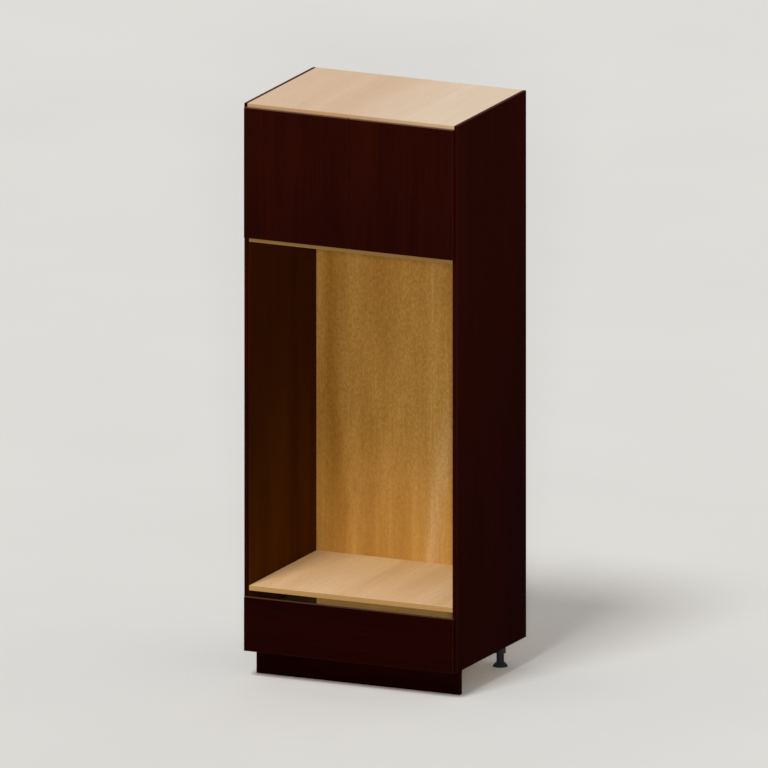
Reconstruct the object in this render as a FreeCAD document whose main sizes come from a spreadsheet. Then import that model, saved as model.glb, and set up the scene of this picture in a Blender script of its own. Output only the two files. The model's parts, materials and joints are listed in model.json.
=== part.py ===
import FreeCAD, Part
import os
import re

import Sketcher
from FreeCAD import Placement, Rotation, Vector

# Open-front pantry cabinet: a tall frameless kitchen unit with a two-door cupboard over an open bay and
# a drawer. It faces -Y and stands on the floor at z = 0, with x = 0 and y = 0 in the middle of its width
# and whole depth. Millimetres throughout.

SIZES = {
    # carcass
    "cabinet_width": 838.2,
    "carcass_depth": 590.5,
    "base_height": 100,
    "drawer_bay_height": 201,
    "niche_height": 1266,
    "cupboard_height": 473,
    "side_thickness": 19,
    "shelf_thickness": 18,
    "top_thickness": 18,
    "back_thickness": 12.7,
    "top_rabbet": 6.35,
    "back_rabbet": 9.5,
    "rail_thickness": 18,
    "rail_height": 90,
    "wall_screw_spacing": 406.4,
    "wall_screw_radius": 3,
    # doors and drawer front
    "front_thickness": 18,
    "front_gap": 3,
    "front_reveal": 8,
    "front_edge_round": 0.8,
    "door_split": 3,
    "door_top_overlap": 5.5,
    "finger_gap": 21,
    # plinth and legs
    "plinth_thickness": 18,
    "plinth_setback": 63,
    "plinth_clearance": 1.5,
    "clip_reach": 40,
    "clip_wall": 3,
    "clip_height": 16,
    "clip_play": 0.3,
    "clip_mouth": 30,
    "clip_neck_width": 12,
    "clip_plate_width": 42,
    "clip_screw_spacing": 28,
    "leg_side_inset": 70,
    "leg_back_inset": 70,
    "leg_flange_width": 64,
    "leg_flange_thickness": 5,
    "leg_screw_spacing": 48,
    "leg_boss_radius": 20,
    "leg_boss_length": 45,
    "foot_radius": 27,
    "foot_rim_height": 4,
    "foot_height": 14,
    "foot_shoulder_radius": 17,
    "foot_stem_radius": 14,
    "foot_stem_play": 0.1,
    "foot_stem_end_gap": 2,
    # hinges
    "hinge_inset": 90,
    "cup_radius": 17.4,
    "cup_depth": 13.3,
    "cup_wall": 1.4,
    "cup_floor": 0.8,
    "cup_from_edge": 3,
    "flange_radius": 19,
    "flange_thickness": 1,
    "flange_width": 16,
    "flange_length": 60,
    "peg_radius": 4,
    "peg_length": 10,
    "peg_spacing": 48,
    "pin_radius": 1,
    "pin_play": 0.05,
    "pin_from_edge": 7,
    "pin_depth": 9,
    "pin_end_cover": 0.15,
    "knuckle_radius": 1.8,
    "arm_reach": 14,
    "arm_drop": 1.5,
    "arm_thickness": 2,
    "arm_width": 7,
    "arm_block_width": 16,
    "arm_block_height": 6,
    "arm_block_length": 54,
    "plate_setback": 10,
    "plate_wing_line": 37,
    "plate_wing_width": 14,
    "plate_wing_thickness": 3,
    "plate_wing_length": 48,
    "plate_screw_spacing": 34,
    # touch latches
    "latch_from_middle": 45,
    "latch_setback": 2,
    "latch_width": 16,
    "latch_height": 16,
    "latch_length": 64,
    "latch_ear_width": 11,
    "latch_ear_length": 16,
    "latch_ear_thickness": 3,
    "plunger_radius": 4,
    "plunger_play": 0.1,
    "plunger_seat": 40,
    "plunger_travel": 3,
    "strike_radius": 9,
    "strike_thickness": 1,
    "strike_gap": 0.3,
    # drawer
    "drawer_rear_gap": 39.8,
    "drawer_lift": 10,
    "drawer_side_width": 13,
    "drawer_side_height": 112,
    "drawer_side_steel": 1.2,
    "drawer_ledge": 12,
    "drawer_base_thickness": 16,
    "drawer_back_thickness": 16,
    "drawer_panel_play": 0.2,
    "bracket_width": 26,
    "bracket_depth": 30,
    "bracket_height": 70,
    "bracket_steel": 1.5,
    "bracket_screw_spacing": 44,
    "bumper_radius": 4,
    "bumper_gap": 0.3,
    "bumper_inset": 24,
    # drawer runners
    "runner_width": 12.7,
    "runner_height": 46,
    "runner_lift": 4,
    "runner_setback": 4,
    "runner_rear_gap": 53.8,
    "runner_steel": 1.2,
    "runner_play": 0.3,
    "runner_screw_room": 2.5,
    "runner_screw_inset": 40,
    # fasteners
    "bore_play": 0.05,
    "screw_radius": 1.75,
    "screw_head_radius": 3.5,
    "screw_head_height": 2,
    "short_screw_length": 15,
    "long_screw_length": 26,
    "screw_tip_room": 0.5,
    "back_screw_inset": 60,
    "drawer_screw_inset": 60,
    "dowel_radius": 4,
    "dowel_in_side": 9,
    "dowel_in_panel": 21,
    "dowel_front_inset": 120,
    "dowel_back_inset": 60,
    "cam_radius": 7.5,
    "cam_height": 13.5,
    "cam_from_side": 24,
    "cam_front_inset": 60,
    "cam_back_inset": 140,
    "cam_bolt_radius": 3,
    "cam_bolt_in_side": 11,
}

# Places worked out from the sizes, as expressions. HALF and INNER are the sides' outer and inner faces,
# from the middle. DOOR_BACK is the fronts' back face, and the carcass runs from FACE to REAR.
HALF = "(cabinet_width / 2)"
INNER = f"({HALF} - side_thickness)"
WHOLE_DEPTH = "(carcass_depth + front_gap + front_thickness)"
DOOR_BACK = f"(front_thickness - {WHOLE_DEPTH} / 2)"
FACE = f"({DOOR_BACK} + front_gap)"
REAR = f"({WHOLE_DEPTH} / 2)"
BACK_FACE = f"({REAR} - back_thickness)"
INNER_DEPTH = "(carcass_depth - back_thickness)"

BAY_FLOOR = "(base_height + shelf_thickness)"
SHELF_UNDER = f"({BAY_FLOOR} + drawer_bay_height)"
NICHE_FLOOR = f"({SHELF_UNDER} + shelf_thickness)"
NICHE_TOP = f"({NICHE_FLOOR} + niche_height)"
CUPBOARD_FLOOR = f"({NICHE_TOP} + shelf_thickness)"
CUPBOARD_TOP = f"({CUPBOARD_FLOOR} + cupboard_height)"
TOP = f"({CUPBOARD_TOP} + top_thickness)"

DOOR_EDGE = f"({HALF} - front_reveal)"
DOOR_WIDTH = f"({DOOR_EDGE} - door_split / 2)"
DOOR_HEIGHT = "(cupboard_height + door_top_overlap)"
DRAWER_FRONT_HEIGHT = "(drawer_bay_height + shelf_thickness - finger_gap)"

PIN_X = f"(pin_from_edge - {DOOR_EDGE})"
PIN_Y = f"({DOOR_BACK} - pin_depth)"
CUP_FROM_EDGE = "(cup_from_edge + cup_radius + bore_play)"
CUP_X = f"({CUP_FROM_EDGE} - {DOOR_EDGE})"
PIN_HALF = f"sqrt((cup_radius - pin_end_cover)^2 - ({CUP_FROM_EDGE} - pin_from_edge + pin_radius)^2)"
HINGE_LEVELS = {
    "lower": f"({CUPBOARD_FLOOR} + hinge_inset)",
    "upper": f"({CUPBOARD_FLOOR} + {DOOR_HEIGHT} - hinge_inset)",
}

LATCH_Z = f"({CUPBOARD_TOP} - latch_height / 2)"
LATCH_Y = f"({FACE} + latch_setback)"
LATCH_EAR_Y = f"({LATCH_Y} + (latch_length - latch_ear_length) / 2)"
PLUNGER_TIP = f"({DOOR_BACK} + strike_thickness + strike_gap)"

DRAWER_Z = f"({BAY_FLOOR} + drawer_lift)"
DRAWER_INNER = f"({INNER} - runner_width - drawer_side_width)"
DRAWER_REAR = f"({BACK_FACE} - drawer_rear_gap)"
DRAWER_LENGTH = f"({DRAWER_REAR} - {DOOR_BACK})"
DRAWER_BASE_Z = f"({DRAWER_Z} + drawer_side_steel)"
DRAWER_BACK_Z = f"({DRAWER_BASE_Z} + drawer_base_thickness)"
DRAWER_PANEL_HALF = f"({DRAWER_INNER} - drawer_panel_play)"
RUNNER_Y = f"({FACE} + runner_setback)"
RUNNER_LENGTH = f"({BACK_FACE} - runner_rear_gap - {RUNNER_Y})"
RUNNER_MIDDLE_Z = f"({DRAWER_Z} + runner_lift + runner_height / 2)"

PLINTH_BACK = f"({FACE} + plinth_setback + plinth_thickness)"
LEG_X = f"({HALF} - leg_side_inset)"
LEG_ROWS = {"front": f"({PLINTH_BACK} + clip_reach)", "back": f"({REAR} - leg_back_inset)"}
LEG_BOSS_Z = "(base_height - leg_flange_thickness - leg_boss_length)"
CLIP_Z = f"({LEG_BOSS_Z} + (leg_boss_length - clip_height) / 2)"
CLIP_BORE = "(leg_boss_radius + clip_play)"

# Undersides of the three shelves that are dowelled and cammed between the sides.
SHELF_LEVELS = {"bottom_panel": "base_height", "niche_shelf": SHELF_UNDER, "cupboard_floor": NICHE_TOP}

RIGHT, BACKWARD, UP = Vector(1, 0, 0), Vector(0, 1, 0), Vector(0, 0, 1)
SIDES = {"left": -1, "right": 1}

doc = FreeCAD.newDocument("pantry_cabinet")
sheet = doc.addObject("Spreadsheet::Sheet", "sizes")
for row, (alias, size) in enumerate(SIZES.items(), start=1):
    sheet.set(f"A{row}", alias)
    sheet.set(f"B{row}", str(size))
    sheet.setAlias(f"B{row}", alias)
doc.recompute()

nodes = []


def full(text):
    """An expression with every size's name pointed at the sheet."""
    return re.sub(r"\b(?!sqrt\b)[a-z]\w*", lambda name: f"sizes.{name.group()}", text)


def number(text):
    return float(sheet.evalExpression(full(text)))


def point(x, y, z):
    return Vector(number(x), number(y), number(z))


def node(piece):
    """Marks a finished sub-part, whose label names its file."""
    piece.Label = piece.Name
    nodes.append(piece)


def bind(piece, **sizes):
    for name, text in sizes.items():
        piece.setExpression(name, full(text))
    return piece


def place(piece, x, y, z, axis=UP):
    piece.Placement = Placement(Vector(), Rotation(UP, axis))
    for letter, text in zip("xyz", (x, y, z)):
        piece.setExpression(f"Placement.Base.{letter}", full(text))
    return piece


def box(name, x, y, z, length, width, height):
    piece = doc.addObject("Part::Box", name)
    return place(bind(piece, Length=length, Width=width, Height=height), x, y, z)


def cylinder(name, x, y, z, radius, height, axis=UP):
    piece = doc.addObject("Part::Cylinder", name)
    return place(bind(piece, Radius=radius, Height=height), x, y, z, axis)


def fuse(name, *pieces):
    whole = doc.addObject("Part::MultiFuse", name)
    whole.Shapes = list(pieces)
    return whole


def cut(name, base, *tools):
    whole = doc.addObject("Part::Cut", name)
    whole.Base = base
    whole.Tool = tools[0] if len(tools) == 1 else fuse(f"{name}_cutters", *tools)
    return whole


def solids(name, shapes):
    """Separate solids in one object, such as a set of screws or the bores for them."""
    group = doc.addObject("Part::Feature", name)
    group.Shape = Part.makeCompound(shapes)
    return group


def group(name, pieces):
    whole = doc.addObject("Part::Compound", name)
    whole.Links = pieces
    return whole


def reflect(source, name):
    """The same piece on the other side of the cabinet."""
    twin = doc.addObject("Part::Mirroring", name)
    twin.Source = source
    twin.Normal = RIGHT
    return twin


def both_sides(left, right_label):
    """A sub-part on the left and its twin on the right."""
    node(left)
    node(reflect(left, right_label))


def sketch_on(body, name, role):
    sketch = body.newObject("Sketcher::SketchObject", f"{body.Name}_{name}")
    plane = next(feature for feature in body.Origin.OriginFeatures if feature.Role == role)
    sketch.AttachmentSupport = [(plane, "")]
    sketch.MapMode = "FlatFace"
    return sketch


def fix(sketch, kind, geometry, spot, text):
    """Ties one point of a sketch to its distance from the sketch's origin."""
    index = sketch.addConstraint(Sketcher.Constraint(kind, -1, 1, geometry, spot, number(text)))
    sketch.setExpression(f"Constraints[{index}]", full(text))


def outline(body, name, role, corners):
    """A closed outline of straight lines, with each corner tied to the sheet."""
    sketch = sketch_on(body, name, role)
    spots = [Vector(number(x), number(y), 0) for x, y in corners]
    for start, end in zip(spots, spots[1:] + spots[:1]):
        sketch.addGeometry(Part.LineSegment(start, end))
    for index, (x, y) in enumerate(corners):
        before = (index - 1) % len(corners)
        sketch.addConstraint(Sketcher.Constraint("Coincident", before, 2, index, 1))
        fix(sketch, "DistanceX", index, 1, x)
        fix(sketch, "DistanceY", index, 1, y)
    return sketch


def rectangle(body, name, role, low, high):
    (x0, y0), (x1, y1) = low, high
    return outline(body, name, role, [(x0, y0), (x1, y0), (x1, y1), (x0, y1)])


def circles(body, name, role, radius, centres):
    sketch = sketch_on(body, name, role)
    for index, (x, y) in enumerate(centres):
        sketch.addGeometry(Part.Circle(Vector(number(x), number(y), 0), UP, number(radius)))
        bound = sketch.addConstraint(Sketcher.Constraint("Radius", index, number(radius)))
        sketch.setExpression(f"Constraints[{bound}]", full(radius))
        fix(sketch, "DistanceX", index, 3, x)
        fix(sketch, "DistanceY", index, 3, y)
    return sketch


def feature(body, kind, sketch, length, reverse=False, middle=False):
    """Pads or pockets a sketch, away from its plane, the other way, or half each way."""
    step = body.newObject(f"PartDesign::{kind}", f"{sketch.Name}_{kind.lower()}")
    step.Profile = sketch
    step.Reversed = reverse
    if middle:
        step.SideType = "Symmetric"
    return bind(step, Length=length)


def beam(name, corners, x, y, z, length):
    """A constant section that runs back along Y from its place."""
    body = place(doc.addObject("PartDesign::Body", name), x, y, z)
    feature(body, "Pad", outline(body, "section", "XZ_Plane", corners), length, reverse=True)
    return body


def screw(seat, way, length):
    shank = Part.makeCylinder(number("screw_radius"), number(length), seat, way)
    head = Part.makeCylinder(number("screw_head_radius"), number("screw_head_height"), seat, -way)
    return head.fuse(shank).removeSplitter()


def screw_bore(seat, way, length, sunk=False):
    """The hole for a screw, with a recess for its head where that is sunk flush."""
    depth = number(f"{length} + screw_tip_room")
    bore = Part.makeCylinder(number("screw_radius + bore_play"), depth, seat, way)
    if sunk:
        radius = number("screw_head_radius + bore_play")
        recess = Part.makeCylinder(radius, number("screw_head_height"), seat, -way)
        bore = bore.fuse(recess).removeSplitter()
    return bore


def screws(places, length="short_screw_length"):
    return [screw(seat, way, length) for seat, way in places]


def screw_bores(places, length="short_screw_length", sunk=False):
    return [screw_bore(seat, way, length, sunk) for seat, way in places]


def short_bores(name, places):
    return solids(name, screw_bores(places))


def across(places):
    """The same places on the other side of the cabinet."""
    return [(Vector(-seat.x, seat.y, seat.z), Vector(-way.x, way.y, way.z)) for seat, way in places]


def pair(text, spacing):
    """Two numbers, half the spacing each side of a place."""
    return [number(f"{text} - {spacing} / 2"), number(f"{text} + {spacing} / 2")]


# Where the screws go: each has the seat of its head and the way it drives.
plate_screws = {
    level: [
        (Vector(number(f"plate_wing_thickness - {INNER}"), number(f"{FACE} + plate_wing_line"), z), -RIGHT)
        for z in pair(height, "plate_screw_spacing")
    ]
    for level, height in HINGE_LEVELS.items()
}
runner_screws = [
    (point(f"runner_steel - {INNER}", f"{RUNNER_Y} + {along}", RUNNER_MIDDLE_Z), -RIGHT)
    for along in ("runner_screw_inset", f"{RUNNER_LENGTH} / 2", f"{RUNNER_LENGTH} - runner_screw_inset")
]
leg_screws = {
    leg: [
        (Vector(x, y, number("base_height - leg_flange_thickness")), UP)
        for x in pair(f"-{LEG_X}", "leg_screw_spacing")
        for y in pair(line, "leg_screw_spacing")
    ]
    for leg, line in LEG_ROWS.items()
}
latch_screw_y = number(f"{LATCH_EAR_Y} + latch_ear_length / 2")
latch_screws = [
    (Vector(x, latch_screw_y, number(f"{CUPBOARD_TOP} - latch_ear_thickness")), UP)
    for x in pair("-latch_from_middle", "(latch_width + latch_ear_width)")
]
clip_screws = [
    (Vector(x, number(f"{PLINTH_BACK} + clip_wall"), number(f"{CLIP_Z} + clip_height / 2")), -BACKWARD)
    for x in pair(f"-{LEG_X}", "clip_screw_spacing")
]
bracket_screw_x = number(f"bracket_width / 2 - {DRAWER_INNER}")
bracket_screws = [
    (Vector(bracket_screw_x, number(f"{DOOR_BACK} + bracket_steel"), z), -BACKWARD)
    for z in pair(f"({DRAWER_BACK_Z} + bracket_height / 2)", "bracket_screw_spacing")
]
back_screw_levels = {
    shelf: f"({level} + shelf_thickness / 2)" for shelf, level in SHELF_LEVELS.items()
}
back_screw_levels["hanging_rail"] = f"({CUPBOARD_TOP} - rail_height / 2)"
back_screws = {
    holder: [
        (point(f"{share} * ({INNER} - back_screw_inset)", f"{REAR} - screw_head_height", level), -BACKWARD)
        for share in ("-1", "-1 / 4", "1 / 4", "1")
    ]
    for holder, level in back_screw_levels.items()
}
drawer_base_screws = [
    (
        point(
            f"{share} * ({DRAWER_INNER} - drawer_screw_inset)",
            f"{DRAWER_REAR} - drawer_back_thickness / 2",
            f"{DRAWER_BASE_Z} + screw_head_height",
        ),
        UP,
    )
    for share in ("-1", "0", "1")
]

# Dowels and cam bolts lie across the joints between the sides and the panels: (y, z) for each.
shelf_dowels = {
    shelf: [
        (number(y), number(f"{level} + shelf_thickness / 2"))
        for y in (f"{FACE} + dowel_front_inset", f"{BACK_FACE} - dowel_back_inset")
    ]
    for shelf, level in SHELF_LEVELS.items()
}
top_dowels = [
    (number(y), number(f"{CUPBOARD_TOP} + top_thickness / 2"))
    for y in (f"{FACE} + dowel_front_inset", f"{FACE} + carcass_depth / 2", f"{REAR} - dowel_back_inset")
]
cam_places = {
    shelf: [
        point(f"{INNER} - cam_from_side", y, level)
        for y in (f"{FACE} + cam_front_inset", f"{BACK_FACE} - cam_back_inset")
    ]
    for shelf, level in SHELF_LEVELS.items()
}


def rods(spots, joint, radius, out, inward, side):
    """Rods along X through a joint at a distance from the middle, on one side of the cabinet."""
    start = number(joint) + out
    return [
        Part.makeCylinder(radius, out + inward, Vector(side * start, y, z), RIGHT * -side) for y, z in spots
    ]


def dowels(spots, joint, side, play=0.0):
    radius = number("dowel_radius") + play
    return rods(spots, joint, radius, number("dowel_in_side") + play, number("dowel_in_panel") + play, side)


def cam_bolts(shelf, side, play=0.0):
    middle = number(f"{SHELF_LEVELS[shelf]} + shelf_thickness / 2")
    spots = [(place.y, middle) for place in cam_places[shelf]]
    radius = number("cam_bolt_radius") + play
    out = number("cam_bolt_in_side") + play
    inward = number("cam_from_side + cam_bolt_radius / 2") + play
    return rods(spots, INNER, radius, out, inward, side)


def cams(shelf, side, play=0.0):
    radius, height = number("cam_radius") + play, number("cam_height") + play
    spots = [Vector(side * place.x, place.y, place.z) for place in cam_places[shelf]]
    return [Part.makeCylinder(radius, height, spot) for spot in spots]


def shelf_bores(shelf):
    """Every bore in a shelf for what joins it to the sides and the back."""
    play = number("bore_play")
    bores = screw_bores(back_screws[shelf], "long_screw_length")
    for side in SIDES.values():
        bores += dowels(shelf_dowels[shelf], INNER, side, play)
        for cam, bolt in zip(cams(shelf, side, play), cam_bolts(shelf, side, play)):
            bores.append(cam.fuse(bolt).removeSplitter())
    return bores


def build_sides():
    play = number("bore_play")
    board = box("side_board", f"-{HALF}", FACE, "base_height",
                "side_thickness", "carcass_depth", f"{TOP} - base_height")
    top = box("side_top_rabbet", f"-{INNER} - top_rabbet", FACE, CUPBOARD_TOP,
              "top_rabbet", "carcass_depth", "top_thickness")
    back = box("side_back_rabbet", f"-{INNER} - back_rabbet", BACK_FACE, "base_height",
               "back_rabbet", "back_thickness", f"{CUPBOARD_TOP} - base_height")
    bores = screw_bores(plate_screws["lower"] + plate_screws["upper"] + runner_screws)
    bores += dowels(top_dowels, f"{INNER} + top_rabbet", -1, play)
    for shelf in SHELF_LEVELS:
        bores += dowels(shelf_dowels[shelf], INNER, -1, play) + cam_bolts(shelf, -1, play)
    rabbets = fuse("side_rabbets", top, back)
    left = cut("side_panel_left", cut("side_rabbeted", board, rabbets), solids("side_bores", bores))
    both_sides(left, "side_panel_right")


def build_top():
    half = f"({INNER} + top_rabbet)"
    board = box("top_board", f"-{half}", FACE, CUPBOARD_TOP,
                f"2 * {half}", "carcass_depth", "top_thickness")
    bores = screw_bores(latch_screws + across(latch_screws))
    for side in SIDES.values():
        bores += dowels(top_dowels, half, side, number("bore_play"))
    node(cut("top_panel", board, solids("top_bores", bores)))


def build_shelves():
    for shelf, level in SHELF_LEVELS.items():
        board = box(f"{shelf}_board", f"-{INNER}", FACE, level,
                    f"2 * {INNER}", INNER_DEPTH, "shelf_thickness")
        bores = shelf_bores(shelf)
        if shelf == "bottom_panel":
            for places in leg_screws.values():
                bores += screw_bores(places + across(places))
        node(cut(shelf, board, solids(f"{shelf}_bores", bores)))


def wall_bores(start, depth):
    """The two holes for the wall screws, through the hanging rail and the back."""
    level = number(f"{CUPBOARD_TOP} - rail_height / 2")
    spots = [Vector(x, number(start), level) for x in pair("0", "wall_screw_spacing")]
    radius = number("wall_screw_radius")
    return [Part.makeCylinder(radius, number(depth), spot, BACKWARD) for spot in spots]


def build_back():
    half = f"({INNER} + back_rabbet)"
    board = box("back_board", f"-{half}", BACK_FACE, "base_height", f"2 * {half}", "back_thickness",
                f"{CUPBOARD_TOP} - base_height")
    bores = wall_bores(BACK_FACE, "back_thickness")
    for places in back_screws.values():
        bores += screw_bores(places, "long_screw_length", sunk=True)
    node(cut("back_panel", board, solids("back_bores", bores)))


def build_rail():
    front = f"({BACK_FACE} - rail_thickness)"
    board = box("rail_board", f"-{INNER}", front, f"{CUPBOARD_TOP} - rail_height", f"2 * {INNER}",
                "rail_thickness", "rail_height")
    bores = wall_bores(front, "rail_thickness")
    bores += screw_bores(back_screws["hanging_rail"], "long_screw_length")
    node(cut("hanging_rail", board, solids("rail_bores", bores)))


def slab(name, x, z, width, height):
    """A plain front with slightly rounded edges, whose back face is on its own XZ plane."""
    body = place(doc.addObject("PartDesign::Body", name), x, DOOR_BACK, z)
    face = rectangle(body, "face", "XZ_Plane", ("0", "0"), (width, height))
    block = feature(body, "Pad", face, "front_thickness")
    rounding = body.newObject("PartDesign::Fillet", f"{name}_edges")
    rounding.Base = (block, [""])
    rounding.UseAllEdges = True
    bind(rounding, Radius="front_edge_round")
    return body


def build_doors():
    body = slab("door_left", f"-{DOOR_EDGE}", CUPBOARD_FLOOR, DOOR_WIDTH, DOOR_HEIGHT)
    doc.recompute()
    levels = ["hinge_inset", f"{DOOR_HEIGHT} - hinge_inset"]
    cups = [(CUP_FROM_EDGE, level) for level in levels]
    pegs = [(CUP_FROM_EDGE, f"{level} {sign} peg_spacing / 2") for level in levels for sign in "-+"]
    cup_circles = circles(body, "cups", "XZ_Plane", "cup_radius + bore_play", cups)
    feature(body, "Pocket", cup_circles, "cup_depth + 2 * bore_play", reverse=True)
    peg_circles = circles(body, "pegs", "XZ_Plane", "peg_radius + bore_play", pegs)
    feature(body, "Pocket", peg_circles, "peg_length + 2 * bore_play", reverse=True)
    both_sides(body, "door_right")


def build_hinges():
    pins = []
    for level, z in HINGE_LEVELS.items():
        pins.append(hinge_pin(f"hinge_pin_{level}", z))
        both_sides(hinge_cup(f"hinge_cup_left_{level}", z), f"hinge_cup_right_{level}")
        both_sides(hinge_arm(f"hinge_arm_left_{level}", z), f"hinge_arm_right_{level}")
        plate = hinge_plate(f"hinge_plate_left_{level}", z, plate_screws[level])
        both_sides(plate, f"hinge_plate_right_{level}")
    both_sides(group("hinge_pins_left", pins), "hinge_pins_right")


def hinge_pin(name, z):
    return cylinder(name, PIN_X, PIN_Y, f"{z} - {PIN_HALF}", "pin_radius", f"2 * {PIN_HALF}")


def hinge_cup(name, z):
    """A pressed cup with a flange on the door's back and two pegs that grip the door."""
    wall = cylinder(f"{name}_wall", CUP_X, f"{DOOR_BACK} - cup_depth", z,
                    "cup_radius", "cup_depth", BACKWARD)
    disc = cylinder(f"{name}_disc", CUP_X, DOOR_BACK, z, "flange_radius", "flange_thickness", BACKWARD)
    flange = box(f"{name}_flange", f"{CUP_X} - flange_width / 2", DOOR_BACK, f"{z} - flange_length / 2",
                 "flange_width", "flange_thickness", "flange_length")
    pegs = [
        cylinder(f"{name}_peg_{end}", CUP_X, f"{DOOR_BACK} - peg_length", f"{z} {sign} peg_spacing / 2",
                 "peg_radius", "peg_length", BACKWARD)
        for end, sign in (("low", "-"), ("high", "+"))
    ]
    hollow = cylinder(f"{name}_hollow", CUP_X, f"{DOOR_BACK} - cup_depth + cup_floor", z,
                      "cup_radius - cup_wall", "cup_depth - cup_floor + flange_thickness", BACKWARD)
    shell = fuse(f"{name}_shell", wall, disc, flange, *pegs)
    return cut(name, cut(f"{name}_open", shell, hollow), hinge_pin(f"{name}_pin_bore", z))


def hinge_arm(name, z):
    """A cranked arm: a knuckle round the pin, a neck across the cup and a block that clips on the plate."""
    body = place(doc.addObject("PartDesign::Body", name), PIN_X, PIN_Y, z)
    half = "arm_thickness / 2"
    inside, outside = f"arm_reach - {half}", f"arm_reach + {half}"
    block_start = "pin_depth + front_gap + plate_setback"
    block_end = f"{block_start} + arm_block_length"
    neck = [
        ("0", f"-{half}"),
        (outside, f"-arm_drop - {half}"),
        (outside, block_start),
        (inside, block_start),
        (inside, f"{half} - arm_drop"),
        ("0", half),
    ]
    feature(body, "Pad", outline(body, "neck", "XY_Plane", neck), "arm_width", middle=True)
    knuckle = circles(body, "knuckle", "XY_Plane", "knuckle_radius", [("0", "0")])
    feature(body, "Pad", knuckle, "arm_width", middle=True)
    block_top = f"{inside} + arm_block_height"
    block = rectangle(body, "block", "XY_Plane", (inside, block_start), (block_top, block_end))
    feature(body, "Pad", block, "arm_block_width", middle=True)
    bore = circles(body, "bore", "XY_Plane", "pin_radius + pin_play", [("0", "0")])
    feature(body, "Pocket", bore, "2 * arm_width", middle=True)
    return body


def hinge_plate(name, z, screws):
    """The arm's seat on the side panel, with a wing above and below for its screws."""
    height = f"({PIN_X} + arm_reach - arm_thickness / 2 + {INNER})"
    seat = box(f"{name}_seat", f"-{INNER}", f"{FACE} + plate_setback", f"{z} - arm_block_width / 2",
               height, "arm_block_length", "arm_block_width")
    wing_y = f"{FACE} + plate_wing_line - plate_wing_width / 2"
    wing = box(f"{name}_wing", f"-{INNER}", wing_y, f"{z} - plate_wing_length / 2",
               "plate_wing_thickness", "plate_wing_width", "plate_wing_length")
    return cut(name, fuse(f"{name}_blank", seat, wing), short_bores(f"{name}_bores", screws))


def build_latches():
    middle = "-latch_from_middle"
    body = box("latch_case", f"{middle} - latch_width / 2", LATCH_Y, f"{CUPBOARD_TOP} - latch_height",
               "latch_width", "latch_length", "latch_height")
    ear_x = f"{middle} - latch_width / 2 - latch_ear_width"
    ears = box("latch_ears", ear_x, LATCH_EAR_Y, f"{CUPBOARD_TOP} - latch_ear_thickness",
               "latch_width + 2 * latch_ear_width", "latch_ear_length", "latch_ear_thickness")
    bore = cylinder("latch_bore", middle, LATCH_Y, LATCH_Z, "plunger_radius + plunger_play",
                    "plunger_seat + plunger_travel + plunger_play", BACKWARD)
    case = cut("latch_bored", fuse("latch_blank", body, ears), bore)
    housing = cut("latch_housing_left", case, short_bores("latch_screw_bores", latch_screws))
    both_sides(housing, "latch_housing_right")
    plunger = cylinder("latch_plunger_left", middle, PLUNGER_TIP, LATCH_Z, "plunger_radius",
                       f"{LATCH_Y} + plunger_seat - {PLUNGER_TIP}", BACKWARD)
    both_sides(plunger, "latch_plunger_right")
    strike = cylinder("strike_plate_left", middle, DOOR_BACK, LATCH_Z,
                      "strike_radius", "strike_thickness", BACKWARD)
    both_sides(strike, "strike_plate_right")


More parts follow.
